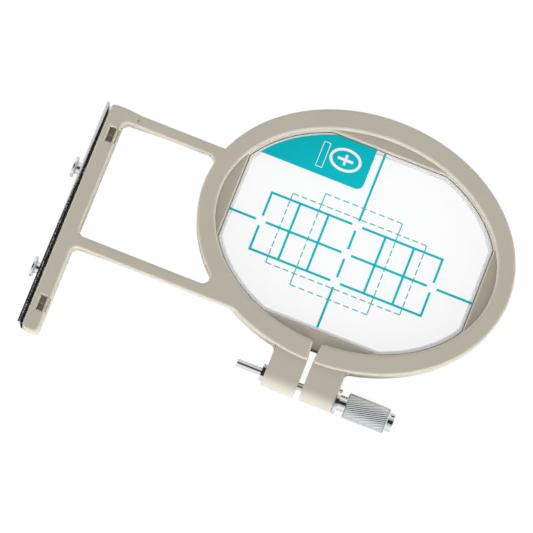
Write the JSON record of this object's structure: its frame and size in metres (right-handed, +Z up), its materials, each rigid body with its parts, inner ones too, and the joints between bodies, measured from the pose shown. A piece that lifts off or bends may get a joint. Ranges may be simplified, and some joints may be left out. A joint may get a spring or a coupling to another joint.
{
  "type": "machine embroidery hoop",
  "caption": "Small oval machine embroidery hoop: outer frame with carriage bar and riveted studs, clamp screw, lift-out inner frame and a clear gridded template sheet.",
  "frame": {"origin": "on the table, under the middle of the whole object's bounding box", "axes": "+X from the carriage bar towards the ring, +Y away from the clamp screw, +Z up out of the working side"},
  "size_m": [0.1486, 0.109, 0.0092],
  "materials": {
    "frame_plastic": "satin moulded ABS, warm beige-grey",
    "clear_sheet": "clear acrylic sheet with a printed measuring grid",
    "strip_steel": "pressed strip with sheared edges",
    "bright_steel": "turned and nickel plated"
  },
  "bodies": {
    "inner": {"inner_frame": "frame_plastic"},
    "outer": {"outer_frame": "frame_plastic", "mounting_plate": "strip_steel", "upper_stud": "bright_steel", "lower_stud": "bright_steel", "hex_nut": "bright_steel"},
    "template": {"template_sheet": "clear_sheet"},
    "clamp_washer": {"washer": "bright_steel"},
    "screw": {"clamp_screw": "bright_steel"}
  },
  "joints": [
    {"name": "frame_lift", "type": "slide", "parent": "inner", "child": "outer", "axis": [0, 0, 1], "range_m": [0, 0.025]},
    {"name": "template_lift", "type": "slide", "parent": "inner", "child": "template", "axis": [0, 0, 1], "range_m": [0, 0.03]},
    {"name": "screw_travel", "type": "slide", "parent": "outer", "child": "clamp_washer", "axis": [1, 0, 0], "range_m": [0, 0.0036]},
    {"name": "screw_turn", "type": "hinge", "parent": "clamp_washer", "child": "screw", "pos_m": [0.0346, -0.03855, 0.0043], "axis": [1, 0, 0], "range_deg": [0, 2882]}
  ],
  "couplings": [
    {"joint": "screw_turn", "follows": "screw_travel", "rad_per_m": 13963}
  ]
}
